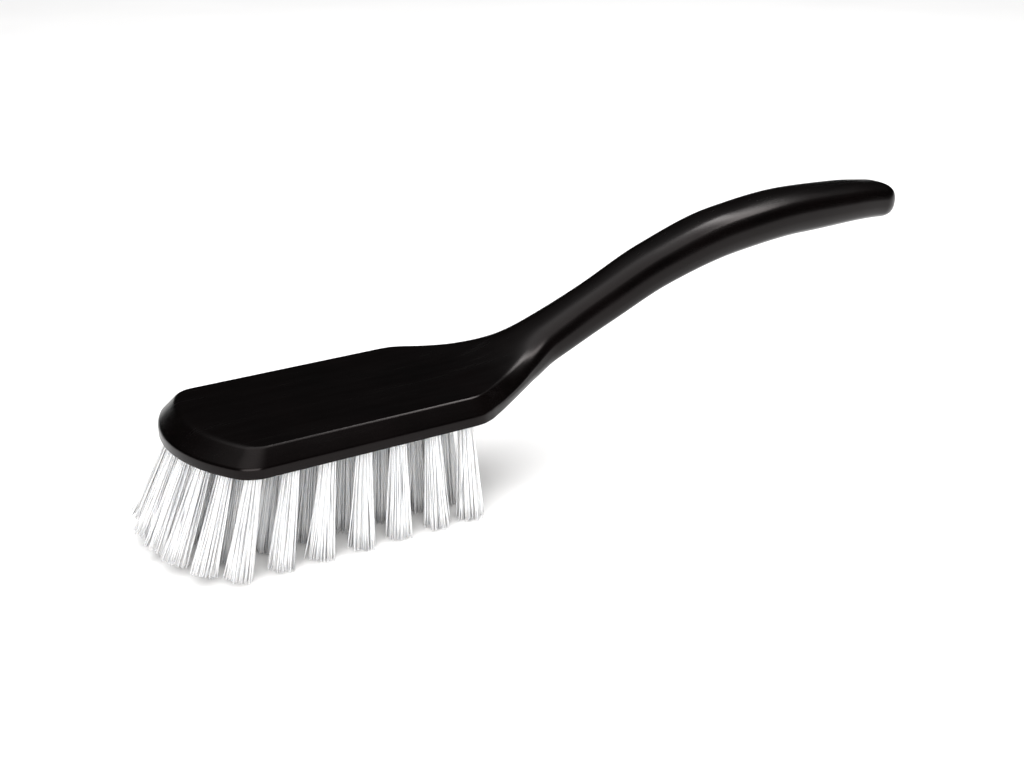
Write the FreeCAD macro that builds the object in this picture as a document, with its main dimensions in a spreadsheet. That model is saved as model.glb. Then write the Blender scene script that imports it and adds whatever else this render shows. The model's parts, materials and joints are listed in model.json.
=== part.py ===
import FreeCAD, Part

import math
import os

import Sketcher
from FreeCAD import Placement, Rotation, Vector

# Hand wheel brush: one black moulding (block, neck and handle in one piece), staple-set tufts of
# filament, and the flat wire anchors that hold them.
# Frame: origin on the plane of the bristle tips, under the middle of the tuft field; +Z up to the
# block's flat top, +X along the handle, +Y to the right of a hand that holds it nose forward.

# Driving dimensions in millimetres, and degrees where the name ends in _angle or _lean.
SIZES = {
    # block
    "overall_length": 276.0,        # nose of the rim to the handle's end
    "nose_reach": 47.5,             # origin to the nose of the rim
    "shoulder_reach": 36.0,         # origin to the block's shoulder
    "rim_width": 59.6,              # across the rim, the block's widest line
    "nose_radius": 48.0,            # rim's nose, seen from above
    "corner_radius": 9.0,           # rim's front corners, seen from above
    "shoulder_radius": 9.0,         # rim's rear corners, seen from above
    "shoulder_angle": 55.0,         # how far the outline turns at the shoulder
    "block_thickness": 7.8,         # underside to flat top
    "rim_band": 3.0,                # height of the upright lower band of the side
    "facet_side_inset": 3.3,        # how far the sloped upper band leans in at the sides
    "facet_nose_inset": 5.8,        # and at the nose
    "facet_corner_radius": 6.0,     # front corners of the flat top
    # bristles
    "bristle_length": 30.3,         # mouth of a hole to the tips, along the tuft
    "trim_cut": 0.4,                # taken off the upright tufts, so that they end on one plane
    "hole_radius": 2.5,             # drilled tuft hole
    "hole_floor": 2.3,              # plastic left between a hole and the flat top
    "tuft_clearance": 0.05,         # radial gap between a tuft's root and its hole
    "hole_floor_gap": 0.1,          # between a tuft's fold and the hole's floor
    "tip_radius": 3.8,              # a tuft's radius at its tips
    "root_showing": 1.2,            # straight root below the hole's mouth, before the tuft flares
    # tuft field
    "edge_margin": 5.9,             # rim to the centres of the outer tufts and the nose tufts
    "corner_setback": 1.0,          # centre of the rim's front corner to the first outer tuft
    "row_setback": 15.2,            # nose of the rim to the first tufts of the inner rows
    "shoulder_margin": 2.5,         # shoulder to the last tuft of each row
    "nose_share": 0.69,             # how much of the outer rows' width the nose tufts take up
    "nose_lean": 21.5,              # nose tufts lean outwards, all round the nose
    "row_lean": 13.5,               # the first outer tuft leans forward
    "side_lean": 5.5,               # outer rows lean outwards
    "upright_reach": 26.0,          # origin to where the rows stand upright
    # wire anchors
    "anchor_thickness": 0.3,
    "anchor_height": 2.0,
    "anchor_bite": 0.4,             # how far each end is driven into the hole's wall
    "fold_thickness": 0.7,          # filament folded over the anchor, at the hole's floor
    # handle
    "neck_run": 40.5,               # shoulder to the slimmest part of the neck
    "section_roundness": 0.88,      # corner radius of a section, as a share of its half-thickness
    "end_fillet": 4.3,              # rounding of the handle's end
}

ROW_COUNT = 7
NOSE_COUNT = 5

# Sections of the neck, from the shoulder to the slimmest part: the share of the neck's run, then
# how far the half-width has gone from the slim neck's to the flat top's, and how far the height and
# the half-thickness have gone from the block's to the slim neck's.
NECK_FIELDS = ("share", "widening", "rise", "thickening")
NECK_SECTIONS = [
    ("neck_root", -0.15, 0.92, 0.00, -0.33),
    ("neck_shoulder", 0.13, 0.92, 0.02, -0.17),
    ("neck_flank", 0.30, 0.71, 0.05, 0.00),
    ("neck_taper", 0.50, 0.47, 0.16, 0.29),
    ("neck_throat", 0.73, 0.20, 0.40, 0.75),
]

# Sections from the slimmest part of the neck to the end of the handle: the share of that run, the
# centre's height over the block's top, half-width and half-thickness.
GRIP_FIELDS = ("share", "height", "halfwidth", "halfthick")
GRIP_SECTIONS = [
    ("neck_slim", 0.00, 2.3, 8.7, 6.3),
    ("grip_front", 0.14, 10.4, 8.1, 6.2),
    ("grip_rise", 0.30, 19.9, 8.7, 6.5),
    ("grip_middle", 0.49, 27.1, 9.8, 7.0),
    ("grip_crest", 0.68, 29.6, 10.2, 7.1),
    ("grip_rear", 0.84, 29.4, 9.7, 6.5),
    ("grip_tail", 0.93, 28.6, 8.8, 5.9),
    ("grip_end", 1.00, 27.0, 7.6, 5.2),
]

doc = FreeCAD.newDocument("wheel_brush")
sheet = doc.addObject("Spreadsheet::Sheet", "sizes")


def put_size(row, alias, value):
    """Writes one named value to the sheet: its name in column A and its number in column B."""
    sheet.set("A%d" % row, alias)
    sheet.set("B%d" % row, str(value))
    sheet.setAlias("B%d" % row, alias)


named_sizes = list(SIZES.items())
for fields, sections in ((NECK_FIELDS, NECK_SECTIONS), (GRIP_FIELDS, GRIP_SECTIONS)):
    for section in sections:
        for field, number in zip(fields, section[1:]):
            named_sizes.append(("%s_%s" % (section[0], field), number))
for row, (alias, number) in enumerate(named_sizes, start=1):
    put_size(row, alias, number)
doc.recompute()


def cell(text):
    """Turns each {name} in an expression into a reference to the sheet."""
    return text.replace("{", "sizes.").replace("}", "")


def value(text):
    """What an expression on the sheet comes to, as a float."""
    return float(sheet.evalExpression(text.replace("{", "").replace("}", "")))


UNDERSIDE = "({bristle_length} - {trim_cut})"
FLAT_TOP = UNDERSIDE + " + {block_thickness}"
HALF_RIM = "{rim_width} / 2"
OUTER_Y = "({rim_width} / 2 - {edge_margin})"
NOSE_CENTRE = "({nose_radius} - {nose_reach})"
HOLE_DEPTH = "({block_thickness} - {hole_floor})"
ROOT_RADIUS = "({hole_radius} - {tuft_clearance})"


def corner_centre(nose_centre, nose_radius, half_width, corner_radius):
    """Where the arc of a front corner has its centre: it touches the nose's arc and the side."""
    y = half_width - corner_radius
    return nose_centre - math.sqrt((nose_radius - corner_radius) ** 2 - y ** 2), y


# ---------------------------------------------------------------- the moulding

def origin_plane(body, role):
    """The body's own origin plane with that role."""
    for feature in body.Origin.OriginFeatures:
        if feature.Role == role:
            return feature
    raise RuntimeError("no origin plane " + role)


def line(x1, y1, x2, y2):
    return Part.LineSegment(Vector(x1, y1, 0), Vector(x2, y2, 0))


def arc(x, y, radius, first, last):
    """An arc about (x, y), anticlockwise from the first angle to the last, in radians."""
    circle = Part.Circle(Vector(x, y, 0), Vector(0, 0, 1), radius)
    return Part.ArcOfCircle(circle, first, last)


def drive(sketch, constraint, expression):
    """Adds a constraint whose value follows an expression on the sheet."""
    index = sketch.addConstraint(constraint)
    sketch.setExpression("Constraints[%d]" % index, cell(expression))


START, END, CENTRE = 1, 2, 3
X_AXIS, ORIGIN = -1, -1


def outline_sketch(body, name, height, half_width, nose_x, corner_radius):
    """A closed outline of the block, seen from above, at a height over the bristle tips.

    The last four arguments are expressions on the sheet. The outline runs round the nose, the
    front corners, the sides and the shoulders, and closes on the middle plane behind them.
    """
    sketch = body.newObject("Sketcher::SketchObject", name)
    sketch.AttachmentSupport = (origin_plane(body, "XY_Plane"), "")
    sketch.MapMode = "FlatFace"
    sketch.setExpression("AttachmentOffset.Base.z", cell(height))

    width = value(half_width)
    front_round = value(corner_radius)
    nose_round = value("{nose_radius}")
    rear_round = value("{shoulder_radius}")
    turn = math.radians(value("{shoulder_angle}"))
    shoulder = value("{shoulder_reach}")

    nose_centre = value(nose_x) + nose_round
    corner_x, corner_y = corner_centre(nose_centre, nose_round, width, front_round)
    slant = math.atan2(corner_y, corner_x - nose_centre)
    rear_y = width - rear_round
    leave_x = shoulder + rear_round * math.sin(turn)
    leave_y = rear_y + rear_round * math.cos(turn)
    tail_x = leave_x + leave_y / math.tan(turn)

    quarter = math.pi / 2
    sketch.addGeometry([
        arc(nose_centre, 0, nose_round, slant, 2 * math.pi - slant),
        arc(corner_x, corner_y, front_round, quarter, slant),
        line(corner_x, width, shoulder, width),
        arc(shoulder, rear_y, rear_round, quarter - turn, quarter),
        line(leave_x, leave_y, tail_x, 0),
        line(tail_x, 0, leave_x, -leave_y),
        arc(shoulder, -rear_y, rear_round, -quarter, turn - quarter),
        line(shoulder, -width, corner_x, -width),
        arc(corner_x, -corner_y, front_round, 2 * math.pi - slant, 3 * quarter),
    ], False)
    (nose_arc, right_corner, right_side, right_shoulder, right_tail,
     left_tail, left_shoulder, left_side, left_corner) = range(9)

    for first, first_end, second, second_end in [
            (nose_arc, START, right_corner, END),
            (right_corner, START, right_side, START),
            (right_side, END, right_shoulder, END),
            (right_shoulder, START, right_tail, START),
            (left_tail, END, left_shoulder, END),
            (left_shoulder, START, left_side, START),
            (left_side, END, left_corner, END),
            (left_corner, START, nose_arc, END)]:
        sketch.addConstraint(
            Sketcher.Constraint("Tangent", first, first_end, second, second_end))
    sketch.addConstraint([
        Sketcher.Constraint("Coincident", right_tail, END, left_tail, START),
        Sketcher.Constraint("PointOnObject", right_tail, END, X_AXIS),
        Sketcher.Constraint("PointOnObject", nose_arc, CENTRE, X_AXIS),
        Sketcher.Constraint("Horizontal", right_side),
        Sketcher.Constraint("Horizontal", left_side),
        Sketcher.Constraint("Equal", right_corner, left_corner),
        Sketcher.Constraint("Equal", right_shoulder, left_shoulder),
        Sketcher.Constraint("Equal", right_tail, left_tail),
    ])
    drive(sketch, Sketcher.Constraint("Radius", nose_arc, nose_round), "{nose_radius}")
    drive(sketch, Sketcher.Constraint("Radius", right_corner, front_round), corner_radius)
    drive(sketch, Sketcher.Constraint("Radius", right_shoulder, rear_round), "{shoulder_radius}")
    drive(sketch, Sketcher.Constraint("DistanceX", ORIGIN, START, nose_arc, CENTRE, nose_centre),
          nose_x + " + {nose_radius}")
    drive(sketch, Sketcher.Constraint("DistanceY", ORIGIN, START, right_side, START, width),
          half_width)
    drive(sketch, Sketcher.Constraint("DistanceY", left_side, START, ORIGIN, START, width),
          half_width)
    drive(sketch, Sketcher.Constraint("DistanceX", ORIGIN, START, right_side, END, shoulder),
          "{shoulder_reach}")
    drive(sketch, Sketcher.Constraint("Angle", right_tail, -turn), "-{shoulder_angle} * 1 deg")
    return sketch


def section_sketch(body, section, slope):
    """A rounded-rectangle section of the handle, upright across it and tilted by its slope.

    A section is its name and four expressions: distance along X, height of the centre over the
    flat top, half-width and half-thickness.
    """
    name, x, height, wide, thick = section
    sketch = body.newObject("Sketcher::SketchObject", name)
    sketch.AttachmentSupport = (origin_plane(body, "YZ_Plane"), "")
    sketch.MapMode = "FlatFace"
    sketch.AttachmentOffset = Placement(Vector(0, 0, 0), Rotation(Vector(1, 0, 0), -slope))
    sketch.setExpression("AttachmentOffset.Base.z", cell(x))
    sketch.setExpression("AttachmentOffset.Base.y", cell("%s + %s" % (FLAT_TOP, height)))

    corner = "(%s) * {section_roundness}" % thick
    half_width = value(wide)
    half_thick = value(thick)
    rounding = value(corner)
    inner_y = half_width - rounding
    inner_z = half_thick - rounding
    quarter = math.pi / 2
    sketch.addGeometry([
        line(-inner_y, -half_thick, inner_y, -half_thick),
        arc(inner_y, -inner_z, rounding, -quarter, 0),
        line(half_width, -inner_z, half_width, inner_z),
        arc(inner_y, inner_z, rounding, 0, quarter),
        line(inner_y, half_thick, -inner_y, half_thick),
        arc(-inner_y, inner_z, rounding, quarter, math.pi),
        line(-half_width, inner_z, -half_width, -inner_z),
        arc(-inner_y, -inner_z, rounding, math.pi, 3 * quarter),
    ], False)
    for first in range(8):
        second = (first + 1) % 8
        sketch.addConstraint(Sketcher.Constraint("Tangent", first, END, second, START))
    bottom, right, top, left = 0, 2, 4, 6
    sketch.addConstraint([
        Sketcher.Constraint("Horizontal", bottom),
        Sketcher.Constraint("Vertical", right),
        Sketcher.Constraint("Equal", 1, 3),
        Sketcher.Constraint("Equal", 3, 5),
        Sketcher.Constraint("Equal", 5, 7),
    ])
    drive(sketch, Sketcher.Constraint("Radius", 1, rounding), corner)
    drive(sketch, Sketcher.Constraint("DistanceY", bottom, START, ORIGIN, START, half_thick),
          thick)
    drive(sketch, Sketcher.Constraint("DistanceY", ORIGIN, START, top, START, half_thick),
          thick)
    drive(sketch, Sketcher.Constraint("DistanceX", ORIGIN, START, right, START, half_width),
          wide)
    drive(sketch, Sketcher.Constraint("DistanceX", left, START, ORIGIN, START, half_width),
          wide)
    return sketch


def handle_sections():
    """Name, distance along X, height, half-width and half-thickness of each section."""
    sections = []
    for name in [row[0] for row in NECK_SECTIONS]:
        sections.append((
            name,
            "{shoulder_reach} + {%s_share} * {neck_run}" % name,
            "(-{block_thickness} / 2 + {%s_rise} * ({neck_slim_height} + {block_thickness} / 2))"
            % name,
            "{neck_slim_halfwidth} + {%s_widening} * ({rim_width} / 2 - {facet_side_inset}"
            " - {neck_slim_halfwidth})" % name,
            "{block_thickness} / 2 + {%s_thickening} * ({neck_slim_halfthick}"
            " - {block_thickness} / 2)" % name))
    for name in [row[0] for row in GRIP_SECTIONS]:
        sections.append((
            name,
            "{shoulder_reach} + {neck_run} + {%s_share} * ({overall_length} - {nose_reach}"
            " - {shoulder_reach} - {neck_run})" % name,
            "{%s_height}" % name, "{%s_halfwidth}" % name, "{%s_halfthick}" % name))
    return sections


def section_slopes(sections):
    """Slope of the handle's middle line at each section, in degrees, from its two neighbours."""
    slopes = []
    for index in range(len(sections)):
        before = sections[max(index - 1, 0)]
        after = sections[min(index + 1, len(sections) - 1)]
        rise = value(after[2]) - value(before[2])
        run = value(after[1]) - value(before[1])
        slopes.append(math.degrees(math.atan2(rise, run)))
    return slopes


def make_moulding_blank():
    """The moulding before its tuft holes are drilled."""
    body = doc.addObject("PartDesign::Body", "moulding_blank")
    nose_x = "-{nose_reach}"

    underside = outline_sketch(body, "rim_underside", UNDERSIDE, HALF_RIM, nose_x,
                               "{corner_radius}")
    band = body.newObject("PartDesign::Pad", "rim_band_pad")
    band.Profile = underside
    band.setExpression("Length", cell("{rim_band}"))

    band_top = outline_sketch(body, "rim_top", UNDERSIDE + " + {rim_band}", HALF_RIM, nose_x,
                              "{corner_radius}")
    flat_top = outline_sketch(body, "flat_top", FLAT_TOP, HALF_RIM + " - {facet_side_inset}",
                              nose_x + " + {facet_nose_inset}", "{facet_corner_radius}")
    facet = body.newObject("PartDesign::AdditiveLoft", "sloped_facet")
    facet.Profile = band_top
    facet.Sections = [flat_top]
    facet.Ruled = True
    doc.recompute()

    sections = handle_sections()
    sketches = []
    for section, slope in zip(sections, section_slopes(sections)):
        sketches.append(section_sketch(body, section, slope))
    handle = body.newObject("PartDesign::AdditiveLoft", "neck_and_grip")
    handle.Profile = sketches[0]
    handle.Sections = sketches[1:]
    doc.recompute()

    ending = body.newObject("PartDesign::Fillet", "rounded_end")
    ending.Base = (handle, end_edges(handle.Shape))
    ending.setExpression("Radius", cell("{end_fillet}"))
    body.Tip = ending
    doc.recompute()
    return body


def end_edges(shape):
    """Names of the edges round the handle's end face, the face that reaches furthest along X."""
    end_face = max(shape.Faces, key=lambda face: face.CenterOfMass.x)
    names = []
    for number, edge in enumerate(shape.Edges, start=1):
        if any(edge.isSame(other) for other in end_face.Edges):
            names.append("Edge%d" % number)
    return names


# ---------------------------------------------------------------- the tuft field

def evenly(first, last, count):
    """Evenly spaced values from the first to the last."""
    step = (last - first) / (count - 1)
    return [first + index * step for index in range(count)]


def row_tufts():
    """Name, place and lean of each tuft of the five rows."""
    outer_y = value(OUTER_Y)
    corner_x, _ = corner_centre(value(NOSE_CENTRE), value("{nose_radius}"), value(HALF_RIM),
                                value("{corner_radius}"))
    outer_front = corner_x - value("{corner_setback}")
    inner_front = value("{row_setback} - {nose_reach}")
    rear = value("{shoulder_reach} - {shoulder_margin}")
    upright = value("{upright_reach}")
    tufts = []
    for row, side, front in [
            ("left_outer", -1.0, outer_front),
            ("left_inner", -0.5, inner_front),
            ("centre", 0.0, inner_front),
            ("right_inner", 0.5, inner_front),
            ("right_outer", 1.0, outer_front)]:
        for number, x in enumerate(evenly(front, rear, ROW_COUNT), start=1):
            share = max(0.0, (upright - x) / (upright - outer_front))
            forward = -value("{row_lean}") * share
            sideways = value("{side_lean}") * side
            tufts.append(("tuft_%s_%d" % (row, number), x, outer_y * side, forward, sideways))
    return tufts


def nose_tufts():
    """The same for the arc of tufts round the nose, which lean away from the arc's centre."""
    centre = value(NOSE_CENTRE)
    radius = value("{nose_radius} - {edge_margin}")
    reach = value(OUTER_Y) * value("{nose_share}")
    lean = math.tan(math.radians(value("{nose_lean}")))
    tufts = []
    for number, y in enumerate(evenly(-reach, reach, NOSE_COUNT), start=1):
        x = centre - math.sqrt(radius ** 2 - y ** 2)
        forward = math.degrees(math.atan(lean * (x - centre) / radius))
        sideways = math.degrees(math.atan(lean * y / radius))
        tufts.append(("tuft_nose_%d" % number, x, y, forward, sideways))
    return tufts


def hole_frame(x, y, forward, sideways):
    """Placement at a hole's mouth whose Z axis runs up the hole, into the block.

    The tuft leans along X and along Y by the two angles, in degrees.
    """
    out = Vector(math.tan(math.radians(forward)), math.tan(math.radians(sideways)), -1)
    into = out.negative().normalize()
    across = Vector(0, 1, 0)
    along = across.cross(into)
    return Placement(Vector(x, y, value(UNDERSIDE)), Rotation(along, across, into, "ZXY"))


def along_hole(frame, distance):
    """The same placement, moved up the hole by an expression's value."""
    return frame.multiply(Placement(Vector(0, 0, value(distance)), Rotation()))


def make_cylinder(name, frame, radius, height, start):
    """A cylinder up a hole's axis; radius, height and start are expressions on the sheet."""
    cylinder = doc.addObject("Part::Cylinder", name)
    cylinder.setExpression("Radius", cell(radius))
    cylinder.setExpression("Height", cell(height))
    cylinder.Placement = along_hole(frame, start)
    return cylinder


def make_anchor(name, frame):
    """A flat wire driven across the hole's floor, under the fold of the tuft."""
    length = "2 * ({hole_radius} + {anchor_bite})"
    anchor = doc.addObject("Part::Box", name)
    anchor.setExpression("Length", cell("{anchor_thickness}"))
    anchor.setExpression("Width", cell(length))
    anchor.setExpression("Height", cell("{anchor_height}"))
    corner = Vector(-value("{anchor_thickness}") / 2, -value(length) / 2, 0)
    bottom = along_hole(frame, HOLE_DEPTH + " - {fold_thickness} - {anchor_height}")
    anchor.Placement = bottom.multiply(Placement(corner, Rotation()))
    return anchor


def make_tuft(name, frame, anchor, trim):
    """One tuft: its root in the hole, folded over the anchor, and its flare, trimmed flat."""
    root = make_cylinder(name + "_root", frame, ROOT_RADIUS,
                         HOLE_DEPTH + " - {hole_floor_gap} + {root_showing}", "-{root_showing}")
    flare = doc.addObject("Part::Cone", name + "_flare")
    flare.setExpression("Radius1", cell("{tip_radius}"))
    flare.setExpression("Radius2", cell(ROOT_RADIUS))
    flare.setExpression("Height", cell("{bristle_length} - {root_showing}"))
    flare.Placement = along_hole(frame, "-{bristle_length}")
    whole = doc.addObject("Part::Fuse", name + "_untrimmed")
    whole.Base = root
    whole.Tool = flare
    trimmed = doc.addObject("Part::Cut", name + "_trimmed")
    trimmed.Base = whole
    trimmed.Tool = trim
    tuft = doc.addObject("Part::Cut", name)
    tuft.Base = trimmed
    tuft.Tool = anchor
    return tuft


def make_trim():
    """The space under the plane of the tips, which trims the tufts."""
    trim = doc.addObject("Part::Box", "trim_block")
    trim.setExpression("Length", cell("2 * {nose_reach} + 2 * {bristle_length}"))
    trim.setExpression("Width", cell("{rim_width} + 2 * {bristle_length}"))
    trim.setExpression("Height", cell("{bristle_length}"))
    trim.setExpression("Placement.Base.x", cell("-{nose_reach} - {bristle_length}"))
    trim.setExpression("Placement.Base.y", cell("-{rim_width} / 2 - {bristle_length}"))
    trim.setExpression("Placement.Base.z", cell("-{bristle_length}"))
    return trim


blank = make_moulding_blank()
trim = make_trim()
sub_parts = []
hole_tools = []
anchors = []
for name, x, y, forward, sideways in row_tufts() + nose_tufts():
    frame = hole_frame(x, y, forward, sideways)
    anchor = make_anchor(name.replace("tuft", "anchor"), frame)
    anchors.append(anchor)
    hole_tools.append(make_cylinder(name.replace("tuft", "hole"), frame, "{hole_radius}",
                                    HOLE_DEPTH + " + {hole_radius}", "-{hole_radius}"))
    sub_parts.append(make_tuft(name, frame, anchor, trim))

anchor_set = doc.addObject("Part::Compound", "tuft_anchors")
anchor_set.Links = anchors
sub_parts.append(anchor_set)

drills = doc.addObject("Part::Compound", "hole_drills")
drills.Links = hole_tools
drilled = doc.addObject("Part::Cut", "moulding_drilled")
drilled.Base = blank
drilled.Tool = drills
moulding = doc.addObject("Part::Cut", "brush_body")
moulding.Base = drilled
moulding.Tool = anchor_set
sub_parts.append(moulding)
doc.recompute()

# ---------------------------------------------------------------- checks and files

for thing in doc.Objects:
    for state in thing.State:
        if state in ("Invalid", "Error"):
            raise RuntimeError("%s is %s" % (thing.Name, state))
for thing in sub_parts:
    if thing.Shape.isNull() or not thing.Shape.isValid():
        raise RuntimeError(thing.Label + " has no valid shape")

blank_volume = blank.Shape.Volume
if len(moulding.Shape.Solids) != 1 or moulding.Shape.Volume >= blank_volume:
    raise RuntimeError("the holes did not cut one whole moulding")
for thing in sub_parts[:-2]:
    if len(thing.Shape.Solids) != 1:
        raise RuntimeError(thing.Label + " is not one solid")

os.makedirs("parts", exist_ok=True)
for thing in sub_parts:
    thing.Shape.exportStep("parts/%s.step" % thing.Label)
box = moulding.Shape.BoundBox
print("moulding %.1f x %.1f x %.1f mm, %d tufts" % (
    box.XLength, box.YLength, box.ZLength, len(anchors)))
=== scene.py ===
import json
import math
import random

import bmesh
import bpy
import numpy as np
from mathutils import Matrix, Vector


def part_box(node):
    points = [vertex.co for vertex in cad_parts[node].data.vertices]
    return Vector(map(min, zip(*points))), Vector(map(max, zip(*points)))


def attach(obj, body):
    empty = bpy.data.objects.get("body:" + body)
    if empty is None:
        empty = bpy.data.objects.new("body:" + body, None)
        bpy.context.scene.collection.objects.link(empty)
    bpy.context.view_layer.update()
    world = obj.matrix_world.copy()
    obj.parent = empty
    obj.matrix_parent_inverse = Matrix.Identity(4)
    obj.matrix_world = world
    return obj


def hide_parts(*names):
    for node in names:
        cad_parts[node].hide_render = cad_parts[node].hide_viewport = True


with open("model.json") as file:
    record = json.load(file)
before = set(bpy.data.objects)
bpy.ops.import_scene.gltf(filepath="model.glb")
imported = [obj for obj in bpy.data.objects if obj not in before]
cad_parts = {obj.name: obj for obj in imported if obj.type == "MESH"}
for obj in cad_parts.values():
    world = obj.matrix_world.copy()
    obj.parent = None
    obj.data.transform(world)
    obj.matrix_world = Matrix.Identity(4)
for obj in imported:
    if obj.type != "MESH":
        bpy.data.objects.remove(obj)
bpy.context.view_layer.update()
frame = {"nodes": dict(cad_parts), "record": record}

MM = 0.001

record = frame["record"]
mounts = {mount["name"]: mount for mount in record["mounts"]}
body_low, body_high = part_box("brush_body")
nose_x, end_x = body_low[0], body_high[0]
rim_z, rim_half = body_low[2], body_high[1]
top_z = mounts["block_top"]["pos_m"][2]
tuft_names = sorted(name for name in frame["nodes"] if name.startswith("tuft_")
                    and name != "tuft_anchors")


# ---------------------------------------------------------------- camera, floor and light

CAMERA_AZIMUTH = math.radians(33.9)      # towards the nose, from square-on to the side
CAMERA_HEIGHT_ANGLE = math.radians(20.5)
CAMERA_DISTANCE = 0.4998
CAMERA_AIM = Vector((0.0825, 0.0, top_z))
CAMERA_SLIDE = (-0.01359, -0.01316)      # right and up of the aim's line, so no lens shift
SENSOR_WIDTH = 36.0
FOCAL_LENGTH = 55.2
LIGHT_AIM = (0.03, 0.0, 0.02)
LIGHT_COLOUR = (1.0, 0.99, 0.98)
SKY_STRENGTH = 2.2
# Brightness of the sky against the height of the direction: dark level with the brush, bright above
SKY_STOPS = [(0.42, 0.004), (0.62, 0.03), (0.76, 0.25), (0.86, 1.0)]
FLOOR_REACH = 40.0


def make_camera():
    """A camera at the photograph's angle."""
    ahead = Vector((math.sin(CAMERA_AZIMUTH) * math.cos(CAMERA_HEIGHT_ANGLE),
                    math.cos(CAMERA_AZIMUTH) * math.cos(CAMERA_HEIGHT_ANGLE),
                    -math.sin(CAMERA_HEIGHT_ANGLE)))
    right = Vector((math.cos(CAMERA_AZIMUTH), -math.sin(CAMERA_AZIMUTH), 0.0))
    up = right.cross(ahead)
    data = bpy.data.cameras.new("camera")
    data.sensor_width = SENSOR_WIDTH
    data.lens = FOCAL_LENGTH
    data.clip_start = 0.01
    camera = bpy.data.objects.new("camera", data)
    place = CAMERA_AIM + right * CAMERA_SLIDE[0] + up * CAMERA_SLIDE[1] - ahead * CAMERA_DISTANCE
    turn = Matrix((right, up, -ahead)).transposed().to_4x4()
    camera.matrix_world = Matrix.Translation(place) @ turn
    bpy.context.scene.collection.objects.link(camera)
    bpy.context.scene.camera = camera


def area_light(name, place, width, height, watts):
    """A rectangular light, in metres and watts, that faces the block."""
    data = bpy.data.lights.new(name, "AREA")
    data.shape = "RECTANGLE"
    data.size, data.size_y = width, height
    data.energy = watts
    data.color = LIGHT_COLOUR
    light = bpy.data.objects.new(name, data)
    direction = (Vector(LIGHT_AIM) - Vector(place)).normalized()
    light.matrix_world = (Matrix.Translation(place)
                          @ direction.to_track_quat("-Z", "Y").to_matrix().to_4x4())
    bpy.context.scene.collection.objects.link(light)


def make_light():
    """A bright ceiling, a softbox that fills the bristles and a strip that draws the top's edge."""
    area_light("front_softbox", (-0.62, -0.95, 0.52), 1.3, 0.8, 21.0)
    area_light("edge_strip", (0.62, 0.05, 0.95), 1.0, 0.20, 7.0)
    world = bpy.data.worlds.new("studio")
    bpy.context.scene.world = world
    world.use_nodes = True
    tree = world.node_tree
    background = tree.nodes["Background"]
    place = tree.nodes.new("ShaderNodeTexCoord")
    split = tree.nodes.new("ShaderNodeSeparateXYZ")
    tree.links.new(place.outputs["Generated"], split.inputs[0])
    tree.links.new(ramp(tree, split.outputs["Z"], SKY_STOPS), background.inputs["Color"])
    background.inputs["Strength"].default_value = SKY_STRENGTH
    bpy.context.scene.view_settings.view_transform = "Standard"


# ---------------------------------------------------------------- materials

def new_material(name):
    """A material with its node tree and its main shader."""
    material = bpy.data.materials.new(name)
    material.use_nodes = True
    tree = material.node_tree
    return material, tree, tree.nodes["Principled BSDF"]


def noise(tree, scale, detail=4.0, roughness=0.5, stretch=(1.0, 1.0, 1.0)):
    """Noise over the object's own place, in metres; a higher scale is a finer grain."""
    place = tree.nodes.new("ShaderNodeTexCoord")
    mapping = tree.nodes.new("ShaderNodeMapping")
    mapping.inputs["Scale"].default_value = stretch
    texture = tree.nodes.new("ShaderNodeTexNoise")
    texture.inputs["Scale"].default_value = scale
    texture.inputs["Detail"].default_value = detail
    texture.inputs["Roughness"].default_value = roughness
    tree.links.new(place.outputs["Object"], mapping.inputs["Vector"])
    tree.links.new(mapping.outputs["Vector"], texture.inputs["Vector"])
    return texture.outputs["Fac"]


def ramp(tree, source, stops):
    """A colour ramp with (position, colour) stops; a colour may be one number."""
    node = tree.nodes.new("ShaderNodeValToRGB")
    elements = node.color_ramp.elements
    while len(elements) < len(stops):
        elements.new(0.5)
    for element, (position, colour) in zip(elements, stops):
        element.position = position
        if not isinstance(colour, tuple):
            colour = (colour, colour, colour)
        element.color = (*colour, 1.0)
    tree.links.new(source, node.inputs[0])
    return node.outputs["Color"]


def bump(tree, height, strength, distance, normal=None):
    """A surface relief; the distance is in metres, and normal is a relief that lies under it."""
    node = tree.nodes.new("ShaderNodeBump")
    node.inputs["Strength"].default_value = strength
    node.inputs["Distance"].default_value = distance
    tree.links.new(height, node.inputs["Height"])
    if normal is not None:
        tree.links.new(normal, node.inputs["Normal"])
    return node.outputs["Normal"]


def black_plastic():
    """Black injection-moulded polypropylene: fine spark grain, flow clouds and light scuffs."""
    material, tree, shader = new_material("black_polypropylene")
    clouds = noise(tree, 45.0, detail=3.0)
    colour = ramp(tree, clouds, [(0.30, (0.0008, 0.0006, 0.0006)), (0.75, (0.0018, 0.0012, 0.0012))])
    scuffs = noise(tree, 260.0, detail=6.0, roughness=0.7, stretch=(0.12, 1.0, 1.0))
    gloss = ramp(tree, scuffs, [(0.35, 0.21), (0.60, 0.26), (0.80, 0.36)])
    grain = noise(tree, 3800.0, detail=2.0)
    flow = noise(tree, 90.0, detail=2.0)
    fine = bump(tree, grain, 0.10, 0.00004)
    tree.links.new(bump(tree, flow, 0.06, 0.0004, fine), shader.inputs["Normal"])
    tree.links.new(colour, shader.inputs["Base Color"])
    tree.links.new(gloss, shader.inputs["Roughness"])
    shader.inputs["IOR"].default_value = 1.49
    shader.inputs["Specular IOR Level"].default_value = 0.15
    shader.inputs["Specular Tint"].default_value = (1.0, 0.90, 0.89, 1.0)
    return material


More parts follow.
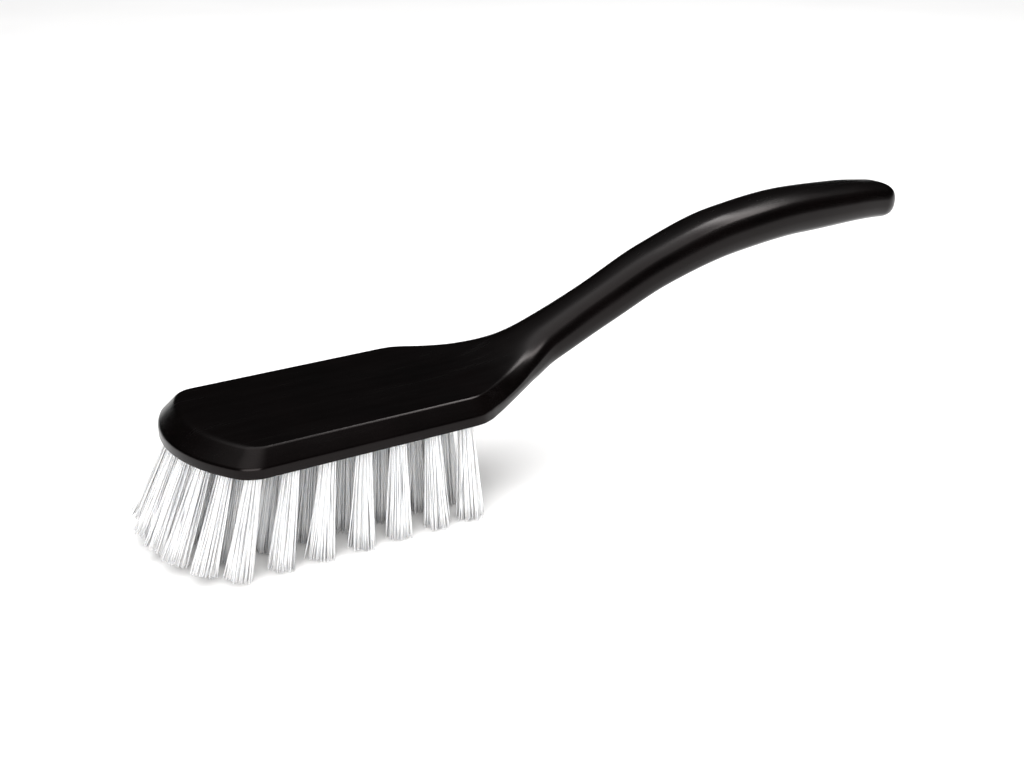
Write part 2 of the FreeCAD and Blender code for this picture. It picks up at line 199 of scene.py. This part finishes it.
def bristle():
    """Milky white filament: each strand has a tone of its own, and painted shade darkens the colour
    towards the cut tip and a little at the root.
    """
    material, tree, shader = new_material("white_filament")
    tone = tree.nodes.new("ShaderNodeAttribute")
    tone.attribute_name = "tone"
    base = ramp(tree, tone.outputs["Fac"], [(0.0, (0.80, 0.79, 0.77)), (0.35, (0.95, 0.945, 0.935)),
                                            (1.0, (0.985, 0.983, 0.98))])
    along = tree.nodes.new("ShaderNodeAttribute")
    along.attribute_name = "along"
    # Painted shade along each strand: the colour falls to 0.66 at the cut tip and to 0.94 at the root
    # in the hole and at its mouth.
    painted_shade_along = ramp(tree, along.outputs["Fac"], [(0.0, (0.94, 0.93, 0.92)), (0.25, (1.0, 1.0, 1.0)),
                                              (0.80, (0.98, 0.98, 0.98)), (1.0, (0.66, 0.66, 0.67))])
    mix = tree.nodes.new("ShaderNodeMix")
    mix.data_type = "RGBA"
    mix.blend_type = "MULTIPLY"
    mix.inputs[0].default_value = 1.0
    tree.links.new(base, mix.inputs[6])
    tree.links.new(painted_shade_along, mix.inputs[7])
    tree.links.new(mix.outputs[2], shader.inputs["Base Color"])
    streak = noise(tree, 900.0, detail=2.0, stretch=(1.0, 1.0, 0.1))
    tree.links.new(ramp(tree, streak, [(0.3, 0.30), (0.7, 0.46)]), shader.inputs["Roughness"])
    shader.inputs["IOR"].default_value = 1.52
    shader.inputs["Subsurface Weight"].default_value = 0.8
    shader.inputs["Subsurface Radius"].default_value = (0.0012, 0.0011, 0.0010)
    shader.inputs["Subsurface Scale"].default_value = 1.0
    return material


def anchor_wire():
    """Drawn flat steel wire, with fine drawing lines."""
    material, tree, shader = new_material("flat_steel_wire")
    lines = noise(tree, 2400.0, detail=2.0, stretch=(1.0, 0.05, 1.0))
    tree.links.new(ramp(tree, lines, [(0.3, (0.50, 0.50, 0.49)), (0.7, (0.66, 0.66, 0.65))]),
                   shader.inputs["Base Color"])
    tree.links.new(ramp(tree, lines, [(0.3, 0.28), (0.7, 0.42)]), shader.inputs["Roughness"])
    tree.links.new(bump(tree, lines, 0.2, 0.00003), shader.inputs["Normal"])
    shader.inputs["Metallic"].default_value = 1.0
    return material


def floor_material():
    """Matt, nearly white, with a faint mottle."""
    material, tree, shader = new_material("pale_floor")
    mottle = noise(tree, 6.0, detail=2.0)
    tree.links.new(ramp(tree, mottle, [(0.3, (0.90, 0.90, 0.90)), (0.7, (0.93, 0.93, 0.93))]),
                   shader.inputs["Base Color"])
    shader.inputs["Roughness"].default_value = 0.8
    shader.inputs["Specular IOR Level"].default_value = 0.1
    return material


# ---------------------------------------------------------------- the moulding

BLOCK_THICKNESS = top_z - rim_z
RIM_BAND = 3.0 * MM
SIDE_INSET = 3.3 * MM
NOSE_INSET = 5.8 * MM
NOSE_RADIUS = 48.0 * MM
CORNER_RADIUS = 9.0 * MM
TOP_CORNER_RADIUS = 6.0 * MM
SHOULDER_X = 33.0 * MM
UNDER_ROUNDING = 0.35 * MM
BAND_ROUNDING = 1.8 * MM
SIDE_TOP_ROUNDING = 1.0 * MM
NOSE_TOP_ROUNDING = 1.5 * MM             # the flat top's edge is softer round the nose
EDGE_POINTS = 5                          # on each rounded edge
BAND_SHARE = 0.45                        # height of a point between the band's two edges
SLOPE_SHARES = (0.35, 0.65)              # of two points between the band and the top

# Sections behind the shoulder: x, half-width, height of the middle over the block's top,
# half-thickness, in millimetres. The curve through them is smooth.
BACK_SECTIONS = [
    (33.0, 29.8, -3.90, 3.90), (36.5, 29.5, -3.90, 3.90), (40.0, 28.2, -3.90, 3.90),
    (44.0, 26.0, -3.85, 3.92), (51.0, 22.2, -3.50, 4.15), (58.0, 18.3, -2.75, 4.75),
    (66.0, 13.9, -1.30, 5.60), (76.5, 9.9, 2.20, 6.30), (98.0, 8.5, 10.30, 6.55),
    (122.0, 9.1, 19.80, 6.85), (151.5, 10.2, 27.00, 7.40), (181.0, 10.6, 29.50, 7.45),
    (205.0, 10.1, 29.30, 6.85), (219.0, 9.3, 28.45, 6.30),
]
END_HEIGHT = 27.0 * MM                    # of the handle's very end over the block's top
OVAL_POWER = 2.7                          # 2 is an ellipse, and more is squarer
BLEND_START, BLEND_END = 40.0 * MM, 72.0 * MM
GRIP_X = 80.0 * MM
CAP_X = BACK_SECTIONS[-1][0] * MM         # where the grip starts to close
CAP_WIDTH_POWER, CAP_THICKNESS_POWER, CAP_TILT_POWER = 2.3, 2.9, 4
OVAL_INSET_GAIN, INSET_LIMIT = 0.25, 0.5  # the slope's width, more of it on the oval
NECK_RINGS, GRIP_RINGS, CAP_RINGS = 48, 48, 16


def smooth_curve(xs, ys):
    """A monotone cubic through points, as a function; it doesn't overshoot between them."""
    xs, ys = np.array(xs), np.array(ys)
    steps, rises = np.diff(xs), np.diff(ys)
    slopes = rises / steps
    ends = np.zeros_like(xs)
    ends[-1] = slopes[-1]
    for i in range(1, len(xs) - 1):
        if slopes[i - 1] * slopes[i] > 0:
            before = 2 * steps[i] + steps[i - 1]
            after = steps[i] + 2 * steps[i - 1]
            ends[i] = (before + after) / (before / slopes[i - 1] + after / slopes[i])

    def value(x):
        i = int(np.clip(np.searchsorted(xs, x) - 1, 0, len(xs) - 2))
        step = steps[i]
        u = (x - xs[i]) / step
        return ((1 + 2 * u) * (1 - u) ** 2 * ys[i] + u * (1 - u) ** 2 * step * ends[i]
                + u * u * (3 - 2 * u) * ys[i + 1] + u * u * (u - 1) * step * ends[i + 1])
    return value


def block_outline(nose, half_width, corner_radius):
    """Half of the block's outline, from the nose on the middle plane to the shoulder."""
    nose_count, corner_count, side_count = OUTLINE_COUNTS
    centre = nose + NOSE_RADIUS
    corner_y = half_width - corner_radius
    corner_x = centre - math.sqrt((NOSE_RADIUS - corner_radius) ** 2 - corner_y ** 2)
    slant = math.atan2(corner_y, corner_x - centre)
    points = []
    for i in range(nose_count):
        angle = math.pi + (slant - math.pi) * i / nose_count
        points.append((centre + NOSE_RADIUS * math.cos(angle), NOSE_RADIUS * math.sin(angle)))
    for i in range(corner_count):
        angle = slant + (math.pi / 2 - slant) * i / corner_count
        points.append((corner_x + corner_radius * math.cos(angle),
                       corner_y + corner_radius * math.sin(angle)))
    for i in range(side_count):
        points.append((corner_x + (SHOULDER_X - corner_x) * i / side_count, half_width))
    return points


def round_corner(before, corner, after, radius):
    """Points on an arc that rounds a corner of a polyline."""
    before, corner, after = (np.array(p) for p in (before, corner, after))
    to_before = (before - corner) / np.linalg.norm(before - corner)
    to_after = (after - corner) / np.linalg.norm(after - corner)
    half = math.acos(float(np.clip(to_before @ to_after, -1, 1))) / 2
    reach = radius / math.tan(half)
    middle = (to_before + to_after) / np.linalg.norm(to_before + to_after)
    centre = corner + middle * radius / math.sin(half)
    start = corner + to_before * reach - centre
    finish = corner + to_after * reach - centre
    first = math.atan2(start[1], start[0])
    sweep = (math.atan2(finish[1], finish[0]) - first + math.pi) % (2 * math.pi) - math.pi
    turns = [first + sweep * i / (EDGE_POINTS - 1) for i in range(EDGE_POINTS)]
    return [tuple(centre + radius * np.array((math.cos(turn), math.sin(turn)))) for turn in turns]


def side_profile(top_rounding):
    """The block's side, from the underside to the top: inward distance and height."""
    under, band, top = (0.0, 0.0), (0.0, RIM_BAND), (SIDE_INSET, BLOCK_THICKNESS)
    inside_under, inside_top = (SIDE_INSET, 0.0), (2 * SIDE_INSET, BLOCK_THICKNESS)
    points = round_corner(inside_under, under, band, UNDER_ROUNDING)
    points.append((0.0, RIM_BAND * BAND_SHARE))
    points += round_corner(under, band, top, BAND_ROUNDING)
    for share in SLOPE_SHARES:
        points.append((SIDE_INSET * share, RIM_BAND + (BLOCK_THICKNESS - RIM_BAND) * share))
    points += round_corner(band, top, inside_top, top_rounding)
    return points


INNER_SHARES = (0.0, 0.25, 0.5, 0.75, 0.93)        # of the way out from the middle plane
OUTLINE_COUNTS = (22, 14, 14)                      # rings along the nose, a corner and a side
# Where each point of a half ring goes on the oval, in degrees, from underneath to the top:
# inner underside, under edge, band, band's upper edge, slope, top edge, inner top.
OVAL_ANGLES = ([-90, -80, -70, -61, -54]
               + [-50, -46, -42, -37, -32] + [-20] + [-9, -5, -1, 3, 7] + [18, 29]
               + [38, 42, 46, 50, 54]
               + [60, 67, 74, 82, 90])


def ring_points(rim, top, top_rounding=SIDE_TOP_ROUNDING):
    """Half a ring of the block, underside to top, as (x, y, height over the underside)."""
    side = side_profile(top_rounding)
    half = []
    for inward, height in side:
        share = inward / SIDE_INSET
        half.append((rim[0] + (top[0] - rim[0]) * share, rim[1] + (top[1] - rim[1]) * share, height))
    under = [(half[0][0], half[0][1] * share, half[0][2]) for share in INNER_SHARES]
    over = [(half[-1][0], half[-1][1] * share, half[-1][2]) for share in reversed(INNER_SHARES)]
    return under + half + over


def block_rings():
    """Half rings from the nose to the shoulder, with a softer top edge round the nose."""
    nose_count, corner_count, _ = OUTLINE_COUNTS
    rim_line = block_outline(nose_x, rim_half, CORNER_RADIUS)
    top_line = block_outline(nose_x + NOSE_INSET, rim_half - SIDE_INSET, TOP_CORNER_RADIUS)
    rings = []
    for index, (rim, top) in enumerate(zip(rim_line, top_line)):
        along_corner = min(1.0, max(0.0, (index - nose_count) / corner_count))
        rounding = NOSE_TOP_ROUNDING + (SIDE_TOP_ROUNDING - NOSE_TOP_ROUNDING) * along_corner
        rings.append([(x, y, rim_z + height) for x, y, height in ring_points(rim, top, rounding)])
    return rings


def oval_point(angle, wide, thick):
    """A point of a full, rounded oval, at an angle in degrees."""
    c, s = math.cos(math.radians(angle)), math.sin(math.radians(angle))
    return (wide * abs(c) ** (2 / OVAL_POWER),
            thick * math.copysign(abs(s) ** (2 / OVAL_POWER), s))


def back_ring(x, half_width, middle, half_thick):
    """Half a ring across the shoulder, neck or grip, which blends from the block to an oval."""
    reach = max(0.0, (x - CAP_X) / (end_x - CAP_X))
    wide = half_width(min(x, CAP_X)) * math.sqrt(max(0.0, 1 - reach ** CAP_WIDTH_POWER))
    thick = half_thick(min(x, CAP_X)) * math.sqrt(max(0.0, 1 - reach ** CAP_THICKNESS_POWER))
    blend = float(np.clip((x - BLEND_START) / (BLEND_END - BLEND_START), 0, 1))
    blend = blend * blend * (3 - 2 * blend)
    ahead = min(x + MM, end_x)
    slope = math.atan2(middle(ahead) - middle(x - MM), ahead - (x - MM))
    tilt = slope * blend * (1 - reach ** CAP_TILT_POWER)
    inset = min(SIDE_INSET * (1 + OVAL_INSET_GAIN * blend), wide * INSET_LIMIT)
    half = []
    flat = ring_points((0.0, wide), (0.0, max(wide - inset, 0.0)))
    for (_, y, height), angle in zip(flat, OVAL_ANGLES):
        v = (height / BLOCK_THICKNESS * 2 - 1) * thick
        oval_y, oval_v = oval_point(angle, wide, thick)
        y = y + (oval_y - y) * blend
        v = v + (oval_v - v) * blend
        half.append((x - math.sin(tilt) * v, y, top_z + middle(x) + math.cos(tilt) * v))
    return half


def back_rings():
    """Half rings from the shoulder to the handle's rounded end."""
    xs, widths, middles, thicks = ([size * MM for size in column] for column in zip(*BACK_SECTIONS))
    curves = (smooth_curve(xs, widths), smooth_curve(xs + [end_x], middles + [END_HEIGHT]),
              smooth_curve(xs, thicks))
    shoulder = np.linspace(SHOULDER_X, GRIP_X, NECK_RINGS)[:-1]
    grip = np.linspace(GRIP_X, CAP_X, GRIP_RINGS)[:-1]
    cap = CAP_X + (end_x - CAP_X) * np.sin(np.linspace(0, math.pi / 2, CAP_RINGS))
    return [back_ring(x, *curves) for x in np.concatenate((shoulder, grip, cap))]


def loft(name, rings):
    """A closed skin over half rings, mirrored in the middle plane."""
    vertices, faces = [], []
    size = 2 * (len(rings[0]) - 1)
    for half in rings:
        vertices += [(x, y, z) for x, y, z in half]
        vertices += [(x, -y, z) for x, y, z in reversed(half[1:-1])]
    for ring in range(len(rings) - 1):
        for i in range(size):
            a, b = ring * size + i, ring * size + (i + 1) % size
            faces.append((a, b, b + size, a + size))
    mesh = bpy.data.meshes.new(name)
    mesh.from_pydata(vertices, [], faces)
    work = bmesh.new()
    work.from_mesh(mesh)
    bmesh.ops.remove_doubles(work, verts=work.verts, dist=1e-6)
    bmesh.ops.dissolve_degenerate(work, edges=work.edges, dist=1e-7)
    bmesh.ops.recalc_face_normals(work, faces=work.faces)
    work.to_mesh(mesh)
    work.free()
    return mesh


def add_object(name, mesh):
    """An object of its own for a mesh, linked to the scene."""
    thing = bpy.data.objects.new(name, mesh)
    bpy.context.scene.collection.objects.link(thing)
    return thing


def bake_modifiers(thing):
    """Replaces an object's mesh by what its modifiers make of it."""
    graph = bpy.context.evaluated_depsgraph_get()
    mesh = bpy.data.meshes.new_from_object(thing.evaluated_get(graph))
    thing.modifiers.clear()
    thing.data = mesh
    return mesh


HOLE_RADIUS = 2.5 * MM
HOLE_DEPTH = 5.5 * MM
COUNTERSINK = 0.3 * MM
DRILL_START = 2.0 * MM                    # how far below the underside a drill begins
DRILL_SIDES = 28
SHARP_ANGLE = math.radians(38)


def drill_ring(work, place, height, radius):
    """A circle of vertices round a drill's axis."""
    turns = [2 * math.pi * i / DRILL_SIDES for i in range(DRILL_SIDES)]
    return [work.verts.new(place @ Vector((radius * math.cos(turn), radius * math.sin(turn), height)))
            for turn in turns]


def hole_cutters(holes):
    """One mesh with a countersunk drill for each tuft hole."""
    levels = [(-DRILL_START, HOLE_RADIUS + COUNTERSINK + DRILL_START), (COUNTERSINK, HOLE_RADIUS),
              (HOLE_DEPTH, HOLE_RADIUS)]
    work = bmesh.new()
    for mouth, axis, _ in holes:
        turn = Vector((0, 0, 1)).rotation_difference(axis).to_matrix().to_4x4()
        place = Matrix.Translation(mouth) @ turn
        rings = [drill_ring(work, place, height, radius) for height, radius in levels]
        for low, high in zip(rings, rings[1:]):
            for i in range(DRILL_SIDES):
                j = (i + 1) % DRILL_SIDES
                work.faces.new((low[i], low[j], high[j], high[i]))
        work.faces.new(list(reversed(rings[0])))
        work.faces.new(rings[-1])
    mesh = bpy.data.meshes.new("hole_cutters")
    work.to_mesh(mesh)
    work.free()
    return mesh


def make_moulding(holes, material):
    """The one-piece moulding, with its holes cut by a boolean that is applied at once."""
    rings = block_rings() + back_rings()
    moulding = add_object("moulding", loft("moulding", rings))
    drills = add_object("hole_cutters", hole_cutters(holes))
    cut = moulding.modifiers.new("holes", "BOOLEAN")
    cut.object = drills
    cut.operation = "DIFFERENCE"
    cut.solver = "EXACT"
    mesh = bake_modifiers(moulding)
    bpy.data.objects.remove(drills)
    mesh.shade_smooth()
    mesh.set_sharp_from_angle(angle=SHARP_ANGLE)
    moulding.modifiers.new("flat_faces_stay_flat", "WEIGHTED_NORMAL").keep_sharp = True
    mesh.materials.clear()
    mesh.materials.append(material)
    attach(moulding, "root")
    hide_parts("brush_body")


# ---------------------------------------------------------------- the tufts

STRANDS = 92
STRAND_RADIUS = 0.19 * MM
STRAND_SIDES = 5
ROOT_SPREAD = 2.24 * MM
TIP_SPREAD = 3.9 * MM
STRAND_SHARES = (0.0, 0.12, 0.30, 0.50, 0.70, 0.86, 1.0)
IN_HOLE = 2.2 * MM                        # how far a strand is followed up its hole
FAN_POWER = 1.15
FAN_RANGE = (0.88, 1.12)                  # a strand's own spread, as a share of the tuft's
PACKING_RANGE = (0.96, 1.03)              # how far a strand is out of the even pattern
PACKING_TURN = 0.15
THICKNESS_RANGE = (0.9, 1.08)
STRAY_CHANCE, STRAY_DRIFT, DRIFT = 0.09, 1.15 * MM, 0.32 * MM
BOW, BOW_TURN = 0.22 * MM, 1.3
UNEVEN_CUT = 0.40 * MM
SHORT_CHANCE, SHORT_RANGE = 0.10, (0.4 * MM, 1.8 * MM)
TIP_NARROWING = 0.82
LEAN_LIMIT = 0.55 * MM
TONE_MIDDLE, TONE_SPREAD = 0.62, 0.22
FOLD_LEVEL = 3.6 * MM                     # over the underside: a tuft's fold is above this
ROOT_LEVEL = -2.6 * MM                    # a tuft is still a straight root down to this


def tuft_line(name):
    """Where a tuft's hole opens, the direction up the hole and the tuft's length, from its solid."""
    points = np.array([vertex.co for vertex in frame["nodes"][name].data.vertices])
    heights = points[:, 2] - rim_z
    fold = points[heights > FOLD_LEVEL]
    root_end = points[(heights > ROOT_LEVEL) & (heights < 0.0)]
    top = Vector((fold.min(axis=0) + fold.max(axis=0)) / 2)
    low = Vector((root_end.min(axis=0) + root_end.max(axis=0)) / 2)
    axis = (top - low).normalized()
    mouth = low + axis * ((rim_z - low.z) / axis.z)
    reach = max(float(v) for v in (np.array(mouth) - points) @ np.array(axis))
    return mouth, axis, min(reach, mouth.z / axis.z)


def strand_path(tuft, across, along, spot, rng, lean):
    """Middle line of one strand: straight in the hole, then spreading towards the tip."""
    mouth, axis, length = tuft
    angle, distance = spot
    start = across * (math.cos(angle) * distance) + along * (math.sin(angle) * distance)
    drift = rng.gauss(0, STRAY_DRIFT if rng.random() < STRAY_CHANCE else DRIFT)
    turn = rng.uniform(0, 2 * math.pi)
    bend = (across * math.cos(turn) + along * math.sin(turn)) * drift
    bow = rng.gauss(0, BOW)
    side = (across * math.cos(turn + BOW_TURN) + along * math.sin(turn + BOW_TURN)) * bow
    spread = TIP_SPREAD / ROOT_SPREAD * rng.uniform(*FAN_RANGE)
    short = abs(rng.gauss(0, UNEVEN_CUT))
    if rng.random() < SHORT_CHANCE:
        short += rng.uniform(*SHORT_RANGE)
    points = [mouth + start + axis * IN_HOLE]
    for share in STRAND_SHARES:
        grow = 1 + (spread - 1) * share ** FAN_POWER
        points.append(mouth + start * grow + bend * share ** 2 + side * math.sin(math.pi * share)
                      + lean * share - axis * (length - short) * share)
    points[-1].z = max(points[-1].z, STRAND_RADIUS * 0.4)
    return points


def add_strand(vertices, faces, tones, shares, path, radius, tone, across):
    """A thin closed tube along a path, with a slightly drawn-in tip."""
    first = len(vertices)
    count = len(path)
    for i, point in enumerate(path):
        ahead = (path[min(i + 1, count - 1)] - path[max(i - 1, 0)]).normalized()
        side = (across - ahead * across.dot(ahead)).normalized()
        other = ahead.cross(side)
        wide = radius * (TIP_NARROWING if i == count - 1 else 1.0)
        for k in range(STRAND_SIDES):
            angle = 2 * math.pi * k / STRAND_SIDES
            vertices.append(point + side * (wide * math.cos(angle))
                            + other * (wide * math.sin(angle)))
            tones.append(tone)
            shares.append(max(0.0, (i - 1) / (count - 2)))
    for i in range(count - 1):
        low, high = first + i * STRAND_SIDES, first + (i + 1) * STRAND_SIDES
        for k in range(STRAND_SIDES):
            n = (k + 1) % STRAND_SIDES
            faces.append((low + k, low + n, high + n, high + k))
    faces.append(tuple(first + k for k in reversed(range(STRAND_SIDES))))
    last = first + (count - 1) * STRAND_SIDES
    faces.append(tuple(last + k for k in range(STRAND_SIDES)))


def make_tuft(name, material):
    """A bundle of strands in place of one tuft's solid, laid out in a sunflower pattern."""
    tuft = tuft_line(name)
    axis = tuft[1]
    rng = random.Random(name)
    across = Vector((0, 1, 0)).cross(axis).normalized()
    along = axis.cross(across)
    heading = rng.uniform(0, 2 * math.pi)
    lean = (across * math.cos(heading) + along * math.sin(heading)) * rng.uniform(0, LEAN_LIMIT)
    vertices, faces, tones, shares = [], [], [], []
    golden = math.pi * (3 - math.sqrt(5))
    for i in range(STRANDS):
        distance = ROOT_SPREAD * math.sqrt((i + 0.5) / STRANDS) * rng.uniform(*PACKING_RANGE)
        spot = (i * golden + rng.uniform(-PACKING_TURN, PACKING_TURN), min(distance, ROOT_SPREAD))
        path = strand_path(tuft, across, along, spot, rng, lean)
        tone = min(1.0, max(0.0, rng.gauss(TONE_MIDDLE, TONE_SPREAD)))
        add_strand(vertices, faces, tones, shares, path,
                   STRAND_RADIUS * rng.uniform(*THICKNESS_RANGE), tone, across)
    mesh = bpy.data.meshes.new(name + "_strands")
    mesh.from_pydata([tuple(v) for v in vertices], [], faces)
    mesh.attributes.new("tone", "FLOAT", "POINT").data.foreach_set("value", tones)
    mesh.attributes.new("along", "FLOAT", "POINT").data.foreach_set("value", shares)
    mesh.shade_smooth()
    mesh.materials.append(material)
    strands = add_object(name + "_strands", mesh)
    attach(strands, "root")
    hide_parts(name)


def make_floor():
    """A plain pale floor, which isn't part of the brush."""
    signs = ((-1, -1), (1, -1), (1, 1), (-1, 1))
    mesh = bpy.data.meshes.new("floor")
    mesh.from_pydata([(FLOOR_REACH * x, FLOOR_REACH * y, 0) for x, y in signs], [], [(0, 1, 2, 3)])
    mesh.materials.append(floor_material())
    floor = add_object("floor", mesh)


make_camera()
make_light()
make_floor()

plastic = black_plastic()
filament = bristle()
holes = [tuft_line(name) for name in tuft_names]
make_moulding(holes, plastic)
for name in tuft_names:
    make_tuft(name, filament)

anchors = frame["nodes"]["tuft_anchors"]
anchors.data.materials.clear()
anchors.data.materials.append(anchor_wire())
